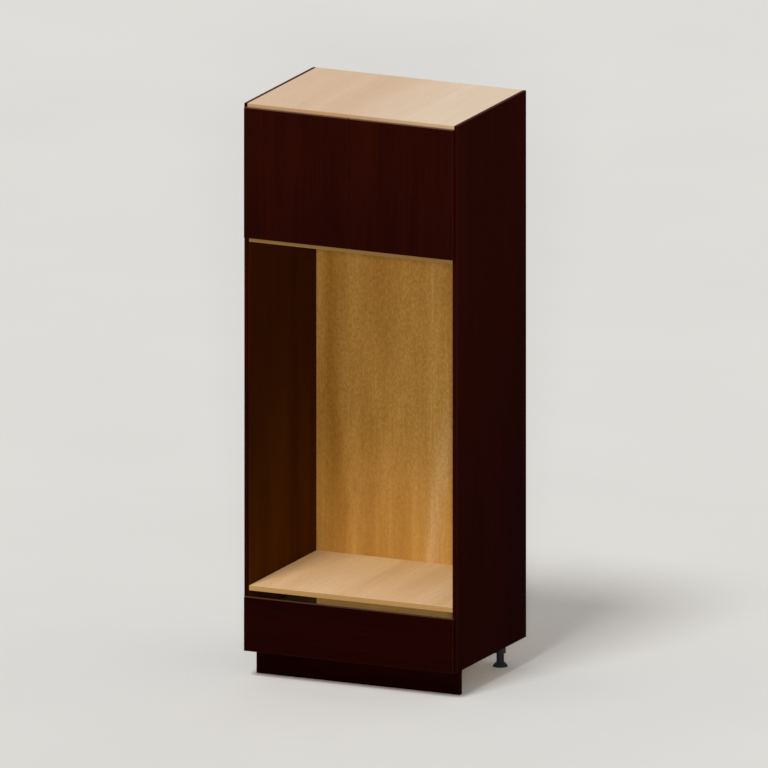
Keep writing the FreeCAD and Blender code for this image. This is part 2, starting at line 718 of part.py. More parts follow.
def build_drawer():
    body = slab("drawer_slab", f"-{DOOR_EDGE}", "base_height", f"2 * {DOOR_EDGE}", DRAWER_FRONT_HEIGHT)
    front_screws = bracket_screws + across(bracket_screws)
    node(cut("drawer_front", body, short_bores("drawer_front_bores", front_screws)))

    steel, wide, high = "drawer_side_steel", "drawer_side_width", "drawer_side_height"
    folded = [
        ("0", "0"),
        (steel, "0"),
        (steel, f"{high} - {steel}"),
        (f"{wide} - {steel}", f"{high} - {steel}"),
        (f"{wide} - {steel}", "0"),
        (f"{wide} + drawer_ledge", "0"),
        (f"{wide} + drawer_ledge", steel),
        (wide, steel),
        (wide, high),
        ("0", high),
    ]
    left = beam("drawer_side_left", folded, f"runner_width - {INNER}", DOOR_BACK, DRAWER_Z, DRAWER_LENGTH)
    both_sides(left, "drawer_side_right")

    panel_x, panel_width = f"-{DRAWER_PANEL_HALF}", f"2 * {DRAWER_PANEL_HALF}"
    base = box("drawer_base_board", panel_x, DOOR_BACK, DRAWER_BASE_Z, panel_width, DRAWER_LENGTH,
               "drawer_base_thickness")
    sunk = screw_bores(drawer_base_screws, "long_screw_length", sunk=True)
    node(cut("drawer_base", base, solids("drawer_base_bores", sunk)))
    back = box("drawer_back_board", panel_x, f"{DRAWER_REAR} - drawer_back_thickness", DRAWER_BACK_Z,
               panel_width, "drawer_back_thickness", f"{DRAWER_Z} + drawer_side_height - {DRAWER_BACK_Z}")
    plain = screw_bores(drawer_base_screws, "long_screw_length")
    node(cut("drawer_back", back, solids("drawer_back_bores", plain)))

    across_leg = box("bracket_front", f"-{DRAWER_INNER}", DOOR_BACK, DRAWER_BACK_Z,
                     "bracket_width", "bracket_steel", "bracket_height")
    along_leg = box("bracket_side", f"-{DRAWER_INNER}", DOOR_BACK, DRAWER_BACK_Z,
                    "bracket_steel", "bracket_depth", "bracket_height")
    left_bracket = cut("bracket_left", fuse("bracket_blank", across_leg, along_leg),
                       short_bores("bracket_bores", bracket_screws))
    node(group("drawer_brackets", [left_bracket, reflect(left_bracket, "bracket_right")]))

    driven = screws(front_screws) + screws(drawer_base_screws, "long_screw_length")
    node(solids("drawer_screws", driven))

    overlap_middle = f"({HALF} - (side_thickness + front_reveal) / 2)"
    bumpers = [
        cylinder(f"bumper_{side}_{end}", f"{sign} * {overlap_middle}", DOOR_BACK, level, "bumper_radius",
                 "front_gap - bumper_gap", BACKWARD)
        for side, sign in SIDES.items()
        for end, level in (
            ("low", "base_height + bumper_inset"),
            ("high", f"base_height + {DRAWER_FRONT_HEIGHT} - bumper_inset"),
        )
    ]
    node(group("drawer_bumpers", bumpers))


def channel(name, start, end, height, opens_inward):
    """A runner member: a web and two flanges, its web by the side panel or, turned about, by the drawer."""
    steel, half = "runner_steel", f"({height}) / 2"
    web, lip = (start, end) if opens_inward else (end, start)
    step = f"{web} + {steel}" if opens_inward else f"{web} - {steel}"
    section = [
        (web, f"-{half}"),
        (lip, f"-{half}"),
        (lip, f"{steel} - {half}"),
        (step, f"{steel} - {half}"),
        (step, f"{half} - {steel}"),
        (lip, f"{half} - {steel}"),
        (lip, half),
        (web, half),
    ]
    return beam(name, section, f"-{INNER}", RUNNER_Y, RUNNER_MIDDLE_Z, RUNNER_LENGTH)


def build_runners():
    step = "2 * (runner_steel + runner_play)"
    middle_start = "runner_steel + runner_screw_room"
    lip_end = "runner_width - runner_play"
    blank = channel("runner_blank", "0", lip_end, "runner_height", True)
    fixed = cut("runner_cabinet_left", blank, short_bores("runner_bores", runner_screws))
    both_sides(fixed, "runner_cabinet_right")
    middle = channel("runner_middle_left", middle_start, lip_end, f"runner_height - {step}", True)
    both_sides(middle, "runner_middle_right")
    moving = channel("runner_drawer_left", f"{middle_start} + runner_steel + runner_play", "runner_width",
                     f"runner_height - 2 * {step}", False)
    both_sides(moving, "runner_drawer_right")


def build_plinth():
    clear = "plinth_clearance"
    board = box("plinth_blank", f"-{INNER}", f"{FACE} + plinth_setback", clear,
                f"2 * {INNER}", "plinth_thickness", f"base_height - 2 * {clear}")
    node(cut("plinth_board", board, short_bores("plinth_bores", clip_screws + across(clip_screws))))

    leg_y = LEG_ROWS["front"]
    ring_radius = f"({CLIP_BORE} + clip_wall)"
    plate = box("clip_plate", f"-{LEG_X} - clip_plate_width / 2", PLINTH_BACK, CLIP_Z,
                "clip_plate_width", "clip_wall", "clip_height")
    neck = box("clip_neck", f"-{LEG_X} - clip_neck_width / 2", PLINTH_BACK, CLIP_Z,
               "clip_neck_width", "clip_reach", "clip_height")
    ring = cylinder("clip_ring", f"-{LEG_X}", leg_y, CLIP_Z, ring_radius, "clip_height")
    bore = cylinder("clip_bore", f"-{LEG_X}", leg_y, CLIP_Z, CLIP_BORE, "clip_height")
    mouth = box("clip_opening", f"-{LEG_X} - clip_mouth / 2", leg_y, CLIP_Z,
                "clip_mouth", ring_radius, "clip_height")
    ringed = cut("clip_ringed", fuse("clip_blank", plate, neck, ring), bore, mouth)
    left = cut("clip_left", ringed, short_bores("clip_bores", clip_screws))
    node(group("plinth_clips", [left, reflect(left, "clip_right")]))


def build_legs():
    for leg, y in LEG_ROWS.items():
        name = f"leg_socket_{leg}_left"
        flange = box(f"{name}_flange", f"-{LEG_X} - leg_flange_width / 2", f"{y} - leg_flange_width / 2",
                     "base_height - leg_flange_thickness", "leg_flange_width", "leg_flange_width",
                     "leg_flange_thickness")
        boss = cylinder(f"{name}_boss", f"-{LEG_X}", y, LEG_BOSS_Z, "leg_boss_radius", "leg_boss_length")
        bore = cylinder(f"{name}_bore", f"-{LEG_X}", y, LEG_BOSS_Z, "foot_stem_radius + foot_stem_play",
                        "leg_boss_length")
        bored = cut(f"{name}_bored", fuse(f"{name}_blank", flange, boss), bore)
        socket = cut(name, bored, short_bores(f"{name}_screw_bores", leg_screws[leg]))
        both_sides(socket, f"leg_socket_{leg}_right")
        foot = levelling_foot(f"levelling_foot_{leg}_left", f"-{LEG_X}", y)
        both_sides(foot, f"levelling_foot_{leg}_right")


def levelling_foot(name, x, y):
    """A turned foot: a broad pad that slopes up to a shoulder, and the stem that screws into the socket."""
    body = place(doc.addObject("PartDesign::Body", name), x, y, "0")
    stem_top = "base_height - leg_flange_thickness - foot_stem_end_gap"
    turned = [
        ("0", "0"),
        ("foot_radius", "0"),
        ("foot_radius", "foot_rim_height"),
        ("foot_shoulder_radius", "foot_height"),
        ("foot_stem_radius", "foot_height"),
        ("foot_stem_radius", stem_top),
        ("0", stem_top),
    ]
    sketch = outline(body, "half_section", "XZ_Plane", turned)
    spin = body.newObject("PartDesign::Revolution", f"{name}_turned")
    spin.Profile = sketch
    spin.ReferenceAxis = (sketch, ["V_Axis"])
    return body


def build_fasteners():
    joined, housings, bolts = [], [], []
    for side in SIDES.values():
        joined += dowels(top_dowels, f"{INNER} + top_rabbet", side)
    for shelf in SHELF_LEVELS:
        for side in SIDES.values():
            joined += dowels(shelf_dowels[shelf], INNER, side)
            bolts += cam_bolts(shelf, side)
            for cam, bolt in zip(cams(shelf, side), cam_bolts(shelf, side, number("bore_play"))):
                housings.append(cam.cut(bolt))
    node(solids("dowels", joined))
    node(solids("cams", housings))
    node(solids("cam_bolts", bolts))

    one_side = plate_screws["lower"] + plate_screws["upper"] + runner_screws + latch_screws + clip_screws
    one_side += leg_screws["front"] + leg_screws["back"]
    node(solids("fitting_screws", screws(one_side + across(one_side))))
    rear = [place for places in back_screws.values() for place in places]
    node(solids("back_screws", screws(rear, "long_screw_length")))


def check_and_export():
    doc.recompute()
    failed = [piece.Name for piece in doc.Objects if {"Invalid", "Error"} & set(piece.State)]
    if failed:
        raise RuntimeError(f"failed objects: {failed}")
    for piece in nodes:
        if piece.Shape.isNull() or not piece.Shape.isValid() or not piece.Shape.Solids:
            raise RuntimeError(f"bad shape: {piece.Label}")
    os.makedirs("parts", exist_ok=True)
    for piece in nodes:
        piece.Shape.exportStep(os.path.join("parts", f"{piece.Label}.step"))
    print(f"{len(nodes)} nodes, {sum(len(piece.Shape.Solids) for piece in nodes)} solids")


build_sides()
build_top()
build_shelves()
build_back()
build_rail()
build_doors()
build_hinges()
build_latches()
build_drawer()
build_runners()
build_plinth()
build_legs()
build_fasteners()
check_and_export()
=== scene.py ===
import json
import math
from collections import namedtuple

import bmesh
import bpy
from mathutils import Matrix, Vector


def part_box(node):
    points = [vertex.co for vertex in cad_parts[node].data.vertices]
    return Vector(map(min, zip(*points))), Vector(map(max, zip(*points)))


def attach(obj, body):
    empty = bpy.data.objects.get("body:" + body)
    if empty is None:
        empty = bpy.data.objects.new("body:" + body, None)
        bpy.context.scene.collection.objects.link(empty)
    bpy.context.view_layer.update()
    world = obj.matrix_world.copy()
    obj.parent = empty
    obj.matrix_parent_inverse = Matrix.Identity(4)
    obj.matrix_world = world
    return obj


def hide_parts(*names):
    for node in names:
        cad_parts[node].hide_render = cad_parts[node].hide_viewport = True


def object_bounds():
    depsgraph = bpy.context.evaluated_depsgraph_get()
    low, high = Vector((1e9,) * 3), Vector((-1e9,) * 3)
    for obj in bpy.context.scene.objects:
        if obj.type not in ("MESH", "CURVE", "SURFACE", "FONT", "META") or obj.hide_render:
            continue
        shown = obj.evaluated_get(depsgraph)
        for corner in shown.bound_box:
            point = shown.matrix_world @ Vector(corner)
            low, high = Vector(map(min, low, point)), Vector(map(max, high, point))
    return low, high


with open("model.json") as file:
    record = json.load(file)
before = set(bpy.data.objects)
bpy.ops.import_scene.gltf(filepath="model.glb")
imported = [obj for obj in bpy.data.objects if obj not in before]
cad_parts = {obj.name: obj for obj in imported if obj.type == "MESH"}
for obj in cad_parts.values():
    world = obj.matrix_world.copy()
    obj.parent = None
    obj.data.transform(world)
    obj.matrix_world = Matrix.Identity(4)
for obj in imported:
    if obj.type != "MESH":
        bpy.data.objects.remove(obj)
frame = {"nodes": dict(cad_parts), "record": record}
cad_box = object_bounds()
nodes = frame["nodes"]
record = frame["record"]
body_of_node = {node: body for body, members in record["behaviour"]["bodies"].items() for node in members}

AXES = {"x": 0, "y": 1, "z": 2}
SIDES = {"left": -1, "right": 1}
MM = 1000.0

# Shares of a noise's range, from its busy middle to nearly all of it
MIDDLE = (0.35, 0.65)
MOST = (0.3, 0.7)
WIDE = (0.25, 0.75)
NEARLY_ALL = (0.2, 0.8)

# A face points along an axis when its normal does by more than this
FACING = 0.7

# Edges that are lighter, partly as wear and partly as a painted highlight where the edges catch the light:
# the span over which it fades, in metres, how much of it shows, and its patches
EDGE_WEAR_AND_HIGHLIGHT_FADE = (0.0003, 0.0018)
EDGE_WEAR_AND_HIGHLIGHT_SHARE = 0.7
PATCH_SPAN = (0.35, 0.6)
PATCH_SHARES = (0.45, 1.0)

# How far a streak wanders to each side of its line, in metres
WANDER = (-0.012, 0.012)

# A change of tint along an axis, from one place to another. Most of them here are painted light and shade.
Drift = namedtuple("Drift", "axis span first last")

# A broad upright streak: its place at the floor, how far it leans as it rises, half its width, the heights
# that it fades in between, and its tint
Streak = namedtuple("Streak", "foot lean half_width fade tint")


def linear(red, green, blue):
    """A colour given as 0 to 255 screen values, as light values with full opacity."""
    def channel(value):
        value /= 255
        return value / 12.92 if value <= 0.04045 else ((value + 0.055) / 1.055) ** 2.4
    return (*map(channel, (red, green, blue)), 1)


def shade(tone, share):
    """A darker or lighter tone of the same hue."""
    return (*(min(1.0, channel * share) for channel in tone[:3]), 1)


class Look:
    """A material, and short ways to add and join its nodes."""

    def __init__(self, name, roughness=0.5, **constants):
        self.material = bpy.data.materials.new(name)
        self.material.use_nodes = True
        self.tree = self.material.node_tree
        self.shader = self.tree.nodes["Principled BSDF"]
        self.shader.inputs["Roughness"].default_value = roughness
        for socket, value in constants.items():
            self.shader.inputs[socket.replace("_", " ")].default_value = value
        where = self.node("ShaderNodeTexCoord")
        self.place = where.outputs["Object"]
        self.normal = where.outputs["Normal"]

    def node(self, kind, settings=None, **inputs):
        """A new node, with its settings and what goes into it."""
        made = self.tree.nodes.new(kind)
        for name, value in (settings or {}).items():
            setattr(made, name, value)
        for name, value in inputs.items():
            self.join(value, made.inputs[name.replace("_", " ")])
        return made

    def join(self, value, socket):
        """Links an output to an input, or sets the input to a value."""
        if isinstance(value, bpy.types.NodeSocket):
            self.tree.links.new(value, socket)
        else:
            socket.default_value = value

    def math(self, operation, first, second=0.0):
        made = self.node("ShaderNodeMath", {"operation": operation})
        self.join(first, made.inputs[0])
        self.join(second, made.inputs[1])
        return made.outputs[0]

    def stretched(self, scale, shift=0.0):
        """The place on the piece, scaled by axis, for patterns that run one way."""
        made = self.node("ShaderNodeMapping", Vector=self.place)
        made.inputs["Scale"].default_value = scale
        made.inputs["Location"].default_value = (shift, shift, shift)
        return made.outputs["Vector"]

    def noise(self, place, scale=1.0, detail=3.0, roughness=0.55, distortion=0.0):
        made = self.node("ShaderNodeTexNoise", Vector=place, Scale=scale, Detail=detail, Roughness=roughness,
                         Distortion=distortion)
        return made.outputs["Fac"]

    def ramp(self, factor, stops):
        """A colour that goes through the stops, each a position and a colour."""
        made = self.node("ShaderNodeValToRGB", Fac=factor)
        elements = made.color_ramp.elements
        while len(elements) < len(stops):
            elements.new(1.0)
        for element, (position, colour) in zip(elements, stops):
            element.position = position
            element.color = colour
        return made.outputs["Color"]

    def between(self, factor, span, target=(0.0, 1.0), curve="LINEAR"):
        """A number that goes over the target range as the factor goes over the span."""
        made = self.node("ShaderNodeMapRange", {"interpolation_type": curve}, Value=factor)
        for name, value in zip(("From Min", "From Max", "To Min", "To Max"), (*span, *target)):
            made.inputs[name].default_value = value
        return made.outputs["Result"]

    def mix(self, factor, first, second, blend="MIX", kind="RGBA"):
        """A mix of two colours, or of two places when its kind is VECTOR."""
        made = self.node("ShaderNodeMix", {"data_type": kind, "blend_type": blend})
        self.join(factor, made.inputs["Factor"])
        self.join(first, made.inputs["A"])
        self.join(second, made.inputs["B"])
        return made.outputs["Result"]

    def tinted(self, colour, tint):
        """A colour multiplied by another, or by a number."""
        return self.mix(1.0, colour, tint, "MULTIPLY")

    def facing(self, axis, sign=0):
        """1 on faces that point along an axis, one way or both."""
        along = self.node("ShaderNodeSeparateXYZ", Vector=self.normal).outputs[AXES[axis]]
        along = self.math("MULTIPLY", along, sign) if sign else self.math("ABSOLUTE", along)
        return self.math("GREATER_THAN", along, FACING)

    def along(self, axis):
        """How far along an axis a point lies, in metres."""
        return self.node("ShaderNodeSeparateXYZ", Vector=self.place).outputs[AXES[axis]]

    def drift(self, colour, change):
        """A colour whose tint changes slowly along an axis. It is mostly painted light and shade, lighter
        where more light falls; only on the back panel is it partly the veneer's own change of tone.
        """
        share = self.between(self.along(change.axis), change.span, curve="SMOOTHSTEP")
        return self.tinted(colour, self.mix(share, change.first, change.last))

    def streak(self, colour, streak):
        """A colour with a broad upright streak in it, which wanders a little from its line."""
        wander = self.between(self.noise(self.place, scale=3.0, detail=2.0), MOST, WANDER)
        leaning = self.math("MULTIPLY", self.along("z"), streak.lean)
        middle = self.math("ADD", leaning, self.math("ADD", wander, streak.foot))
        off = self.math("ABSOLUTE", self.math("SUBTRACT", self.along("x"), middle))
        across = self.between(off, (0.0, streak.half_width), (1.0, 0.0), "SMOOTHSTEP")
        upward = self.between(self.along("z"), streak.fade, curve="SMOOTHSTEP")
        return self.mix(self.math("MULTIPLY", across, upward), colour, self.tinted(colour, streak.tint))

    def near_edge(self, node):
        """1 at the edges of a node's box, falling to 0 over a distance, with patches where it is weaker. It
        masks the lighter edges, partly wear and partly painted highlight.
        """
        low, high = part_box(node)
        place = self.node("ShaderNodeSeparateXYZ", Vector=self.place).outputs
        depths = []
        for axis in range(3):
            from_low = self.math("SUBTRACT", place[axis], low[axis])
            from_high = self.math("SUBTRACT", high[axis], place[axis])
            depths.append(self.math("MINIMUM", from_low, from_high))
        first, second, third = depths
        lesser = self.math("MINIMUM", first, second)
        greater = self.math("MAXIMUM", first, second)
        to_edge = self.math("MAXIMUM", lesser, self.math("MINIMUM", greater, third))
        patches = self.between(self.noise(self.place, scale=35.0, detail=4.0), PATCH_SPAN, PATCH_SHARES)
        return self.math("MULTIPLY", self.between(to_edge, EDGE_WEAR_AND_HIGHLIGHT_FADE, (1.0, 0.0)), patches)

    def finish(self, colour, roughness=None, bump=None, depth=0.0):
        """Joins the colour, roughness and bump to the shader. The bump's depth is in metres."""
        self.join(colour, self.shader.inputs["Base Color"])
        if roughness is not None:
            self.join(roughness, self.shader.inputs["Roughness"])
        if bump is not None:
            raised = self.node("ShaderNodeBump", Height=bump, Strength=1.0, Distance=depth)
            self.join(raised.outputs["Normal"], self.shader.inputs["Normal"])
        return self.material


# Wood patterns, in repeats to the metre across and along the grain
FIBRES = (260.0, 4.0)
PORES = (900.0, 22.0)
FLECKS = (115.0, 75.0)
CLOUDS = (9.0, 4.0)
FIGURE_STRETCH = 0.09
CHIPS = 420.0

# Where the tones of the figure and of the pressed chips lie in their noise, and where a pore starts and ends
FIGURE_STOPS = (0.3, 0.5, 0.72)
CHIP_STOPS = (0.32, 0.5, 0.7)
CHIP_SHADES = (0.5, 1.0, 1.5)
PORE_SPAN = (0.62, 0.74)

# The flecks are greyer than the wood, so blue changes most. They show less low down: heights, and the share
# of them that shows.
FLECK_TINT = (0.67, 0.98, 2.15)
FLECK_HEIGHTS = (0.2, 0.9)
FLECK_SHARES = (0.25, 1.0)

# How much fibres lighten for each part that they darken, and how much of a top edge's painted highlight shows
FIBRE_LIFT = 0.35
LIT_SHARE = 0.75

# Shares of fibres and pores in the relief
FIBRE_RELIEF = 0.6
PORE_RELIEF = 0.4

# Depth of each surface's relief, in metres
WOOD_RELIEF = 0.00012
METAL_RELIEF = 0.00002
PAINT_RELIEF = 0.00003
PLASTIC_RELIEF = 0.00004

# Metal patterns: brushing across and along an axis, and the even speckle of metal without it
BRUSHING = (900.0, 12.0)
SPECKLE = (160.0, 160.0, 160.0)


def grain_scale(along, across_scale, along_scale):
    scale = [across_scale] * 3
    scale[AXES[along]] = along_scale
    return scale


def wood(name, along, tones, edge_along=None, edge_tint=None, figure=5.0, mottle=0.0, fibre=0.12, fleck=0.0,
         shift=0.0, shine=0.1, roughness=(0.68, 0.82), drifts=(), streaks=(), inside=None, lit_top=None,
         raw_top=None, rubbed=None):
    """Sealed veneer: a broad figure, fine fibres and short pores along the grain.

    The grain of the edges that face along Y runs along edge_along, and edge_tint colours them. The streaks
    are on the front face only. drifts change the tint along an axis, mostly as painted light and shade.
    inside is a sign and a painted bounce light for one of the X faces, which lightens that inner face and
    turns it amber, most low down. lit_top is a painted highlight on the top faces, raw_top is the tone of a
    raw top edge, and rubbed is the node whose edges get lighter, partly as wear and partly as a painted
    highlight, with the tone they take.
    """
    look = Look(name, Specular_IOR_Level=shine)
    on_edge = look.facing("y") if edge_along else None

    def grain(across_scale, along_scale):
        faces = look.stretched(grain_scale(along, across_scale, along_scale), shift)
        if not edge_along:
            return faces
        edges = look.stretched(grain_scale(edge_along, across_scale, along_scale), shift)
        return look.mix(on_edge, faces, edges, kind="VECTOR")

    broad = look.noise(grain(figure, figure * FIGURE_STRETCH), detail=5.0, roughness=0.6, distortion=0.6)
    colour = look.ramp(broad, list(zip(FIGURE_STOPS, tones)))
    fibres = look.noise(grain(*FIBRES), detail=4.0, roughness=0.7)
    colour = look.tinted(colour, look.between(fibres, MOST, (1.0 - fibre, 1.0 + fibre * FIBRE_LIFT)))
    if mottle:
        clouds = look.noise(look.stretched(grain_scale(along, *CLOUDS)), detail=2.0, distortion=1.2)
        colour = look.tinted(colour, look.between(clouds, WIDE, (1.0 - mottle, 1.0 + mottle)))
    if fleck:
        flecks = look.between(look.noise(grain(*FLECKS), detail=3.0, roughness=0.6), MIDDLE)
        dark, light = ((*(1 + sign * fleck * share for share in FLECK_TINT), 1) for sign in (-1, 1))
        flecked = look.tinted(colour, look.mix(flecks, dark, light))
        colour = look.mix(look.between(look.along("z"), FLECK_HEIGHTS, FLECK_SHARES), colour, flecked)
    pores = look.between(look.noise(grain(*PORES), detail=1.0), PORE_SPAN, (1.0, 1.0 - fibre))
    colour = look.tinted(colour, pores)
    if streaks:
        streaked = colour
        for streak in streaks:
            streaked = look.streak(streaked, streak)
        colour = look.mix(look.facing("y", -1), colour, streaked)
    # Painted light and shade, and on the back panel partly the veneer's own tone
    for change in drifts:
        colour = look.drift(colour, change)
    if edge_tint:
        colour = look.mix(on_edge, colour, look.tinted(colour, edge_tint))
    # Painted bounce light on the inner face
    if inside:
        sign, change = inside
        colour = look.mix(look.facing("x", sign), colour, look.drift(colour, change))
    # Painted highlight on the faces that point up
    if lit_top:
        colour = look.mix(look.facing("z", 1), colour, look.mix(LIT_SHARE, colour, lit_top))
    if raw_top:
        chips = look.noise(look.place, scale=CHIPS, detail=4.0, roughness=0.75)
        chip_tones = [shade(raw_top, share) for share in CHIP_SHADES]
        pressed = look.ramp(chips, list(zip(CHIP_STOPS, chip_tones)))
        colour = look.mix(look.facing("z", 1), colour, pressed)
    # Lighter edges, partly wear and partly painted highlight
    if rubbed:
        node, wear_and_highlight_tone = rubbed
        colour = look.mix(look.math("MULTIPLY", look.near_edge(node), EDGE_WEAR_AND_HIGHLIGHT_SHARE), colour, wear_and_highlight_tone)
    rough = look.between(broad, NEARLY_ALL, roughness)
    raised_fibres = look.math("MULTIPLY", fibres, FIBRE_RELIEF)
    relief = look.math("ADD", raised_fibres, look.math("MULTIPLY", pores, PORE_RELIEF))
    return look.finish(colour, rough, relief, WOOD_RELIEF)


def metal(name, tone, brushed=None, roughness=(0.25, 0.42), stain=0.25):
    """Plated steel: fine brushing along an axis where it has any, faint stains and uneven gloss."""
    look = Look(name, Metallic=1.0)
    scale = grain_scale(brushed, *BRUSHING) if brushed else SPECKLE
    brush = look.noise(look.stretched(scale), detail=3.0, roughness=0.6)
    stains = look.noise(look.place, scale=38.0, detail=4.0)
    colour = look.ramp(stains, [(0.3, shade(tone, 1 - stain)), (0.6, tone)])
    colour = look.tinted(colour, look.between(brush, MOST, (0.9, 1.05)))
    dull = look.between(stains, WIDE, roughness)
    rough = look.math("ADD", dull, look.between(brush, MOST, (-0.05, 0.05)))
    return look.finish(colour, rough, brush, METAL_RELIEF)


def paint(name, tone, roughness=(0.35, 0.5)):
    """Sprayed paint with a fine orange-peel surface."""
    look = Look(name, Specular_IOR_Level=0.35)
    peel = look.noise(look.place, scale=700.0, detail=2.0)
    uneven = look.noise(look.place, scale=12.0, detail=4.0)
    colour = look.ramp(uneven, [(0.3, shade(tone, 0.8)), (0.65, tone)])
    return look.finish(colour, look.between(uneven, NEARLY_ALL, roughness), peel, PAINT_RELIEF)


def plastic(name, tone, roughness=(0.45, 0.65), shine=0.4):
    """Moulded plastic with a fine spark-eroded grain and rubbed patches."""
    look = Look(name, Specular_IOR_Level=shine)
    grain = look.noise(look.place, scale=1600.0, detail=2.0)
    patches = look.noise(look.place, scale=45.0, detail=4.0)
    colour = look.ramp(patches, [(0.3, shade(tone, 0.8)), (0.7, shade(tone, 1.25))])
    return look.finish(colour, look.between(patches, NEARLY_ALL, roughness), grain, PLASTIC_RELIEF)


# The tones of the woods, dark to light, and how they change over the boards. Most of these changes are
# painted light and shade, as marked below.
PLAIN = (1, 1, 1, 1)
DARK_TONES = (linear(40, 8, 4), linear(46, 10, 5), linear(52, 13, 6))
TOP_TONES = (linear(216, 185, 154), linear(221, 191, 160), linear(226, 197, 167))
SHELF_TONES = (linear(216, 173, 125), linear(226, 185, 137), linear(234, 197, 151))
CUPBOARD_TONES = (linear(204, 160, 110), linear(214, 172, 122), linear(222, 184, 136))
BACK_TONES = (linear(166, 114, 43), linear(178, 127, 53), linear(191, 141, 65))
RAIL_TONES = (linear(220, 163, 84), linear(231, 176, 97), linear(238, 189, 112))
BEECH_TONES = (linear(196, 150, 104), linear(208, 165, 118), linear(220, 180, 134))

TOP_EDGE = (0.73, 0.62, 0.46, 1)
SHELF_EDGE = (0.47, 0.395, 0.25, 1)
CUPBOARD_EDGE = (0.41, 0.36, 0.22, 1)
# Painted highlights on the top edges of the doors and the drawer front; the drawer's is dimmer, as painted
# shade under the shelf
DOOR_TOP_HIGHLIGHT = linear(116, 82, 66)
DRAWER_TOP_HIGHLIGHT = linear(92, 64, 52)
SIDE_TOP = linear(78, 50, 38)
# The tone of the lighter edges, partly wear and partly painted highlight
EDGE_WEAR_AND_HIGHLIGHT = linear(58, 30, 21)

# Painted shade: the doors darker towards the bottom, further from the light above
DOOR_PAINTED_SHADE = Drift("z", (1.64, 1.94), (0.84, 0.95, 1, 1), (1, 1.15, 1.1, 1))
# Painted shade: the sides darker towards the bottom, further from the light above
SIDE_PAINTED_SHADE = Drift("z", (0.1, 2.1), (0.78, 0.74, 0.7, 1), (1.28, 1.15, 1.0, 1))
# Painted bounce light: the inner faces of the sides lighter and more amber, most low down, as light from the
# pale shelf and back falls on them
INSIDE_PAINTED_BOUNCE = Drift("z", (0.2, 1.3), (4.4, 11.6, 1.6, 1), (2.3, 5.5, 1.7, 1))
# Painted sheen: the top lighter and less warm towards the right, where the light glances off it
TOP_PAINTED_SHEEN = Drift("x", (-0.1, 0.3), (0.97, 0.97, 0.99, 1), (1.06, 1.17, 1.31, 1))
# Painted light: the shelf lighter at the front, where the light reaches it, and lighter at the left, against
# the shadow in that corner
SHELF_PAINTED_LIGHT = (
    Drift("y", (-0.28, 0.28), (1.1, 1.13, 1.18, 1), (0.94, 0.94, 0.84, 1)),
    Drift("x", (-0.4, -0.2), (1.06, 1.06, 1.04, 1), PLAIN),
)
# Partly the veneer's own tone and partly painted light: the back lighter and paler to the right, away from
# the left side's shade, and lighter low down, where more light comes in
BACK_TONE_AND_PAINTED_LIGHT = (
    Drift("x", (-0.06, 0.14), (0.95, 0.96, 1.05, 1), (1.12, 1.22, 1.6, 1)),
    Drift("z", (0.4, 0.95), (1.06, 1.04, 1.06, 1), PLAIN),
)
BACK_STREAKS = (
    Streak(foot=-0.343, lean=0.0, half_width=0.045, fade=(0.2, 0.65), tint=(0.82, 0.78, 0.52, 1)),
    Streak(foot=-0.245, lean=0.0, half_width=0.065, fade=(0.0, 0.1), tint=(1.15, 1.22, 1.42, 1)),
    Streak(foot=0.015, lean=0.115, half_width=0.05, fade=(1.0, 0.7), tint=(1.12, 1.26, 1.95, 1)),
)

# Moves the back panel's grain to a part of the noise with broad, even figure
BACK_SHIFT = 5.1


def dark_wood(node, along, share, **extras):
    """The dark red-brown finish, at a share of its full tone. The shares are painted light and shade: lit and
    shaded copies of one finish, darker on boards that get less light.
    """
    tones = [shade(tone, share) for tone in DARK_TONES]
    return wood(f"dark_{node}", along, tones, figure=7.0, fibre=0.25, shine=0.002, roughness=(0.5, 0.66),
                rubbed=(node, EDGE_WEAR_AND_HIGHLIGHT), **extras)


look_of_node = {
    # Painted shade: the drawer front at a lower share than the doors, as the light falls off downwards, and
    # the plinth lower still, in the shade under the cabinet
    "drawer_front": dark_wood("drawer_front", "x", 0.43, lit_top=DRAWER_TOP_HIGHLIGHT),
    "plinth_board": dark_wood("plinth_board", "x", 0.3),
    "top_panel": wood("pale_top", "y", TOP_TONES, edge_along="x", edge_tint=TOP_EDGE, fibre=0.06, fleck=0.02,
                      drifts=(TOP_PAINTED_SHEEN,)),
    "cupboard_floor": wood("pale_cupboard_floor", "y", CUPBOARD_TONES, edge_along="x",
                           edge_tint=CUPBOARD_EDGE, fleck=0.03),
    "back_panel": wood("pale_back", "z", BACK_TONES, figure=9.0, mottle=0.05, fleck=0.155, shift=BACK_SHIFT,
                       drifts=BACK_TONE_AND_PAINTED_LIGHT, streaks=BACK_STREAKS),
}
for side, sign in SIDES.items():
    door, panel = f"door_{side}", f"side_panel_{side}"
    # Painted shade: the sides at a little lower share than the doors, as they face away from the light
    look_of_node[door] = dark_wood(door, "z", 0.74, drifts=(DOOR_PAINTED_SHADE,), lit_top=DOOR_TOP_HIGHLIGHT)
    look_of_node[panel] = dark_wood(panel, "z", 0.7, drifts=(SIDE_PAINTED_SHADE,), raw_top=SIDE_TOP,
                                    inside=(-sign, INSIDE_PAINTED_BOUNCE))
look_of_node["hanging_rail"] = wood("pale_rail", "x", RAIL_TONES, figure=6.0, fleck=0.04)
look_of_node["drawer_back"] = look_of_node["hanging_rail"]

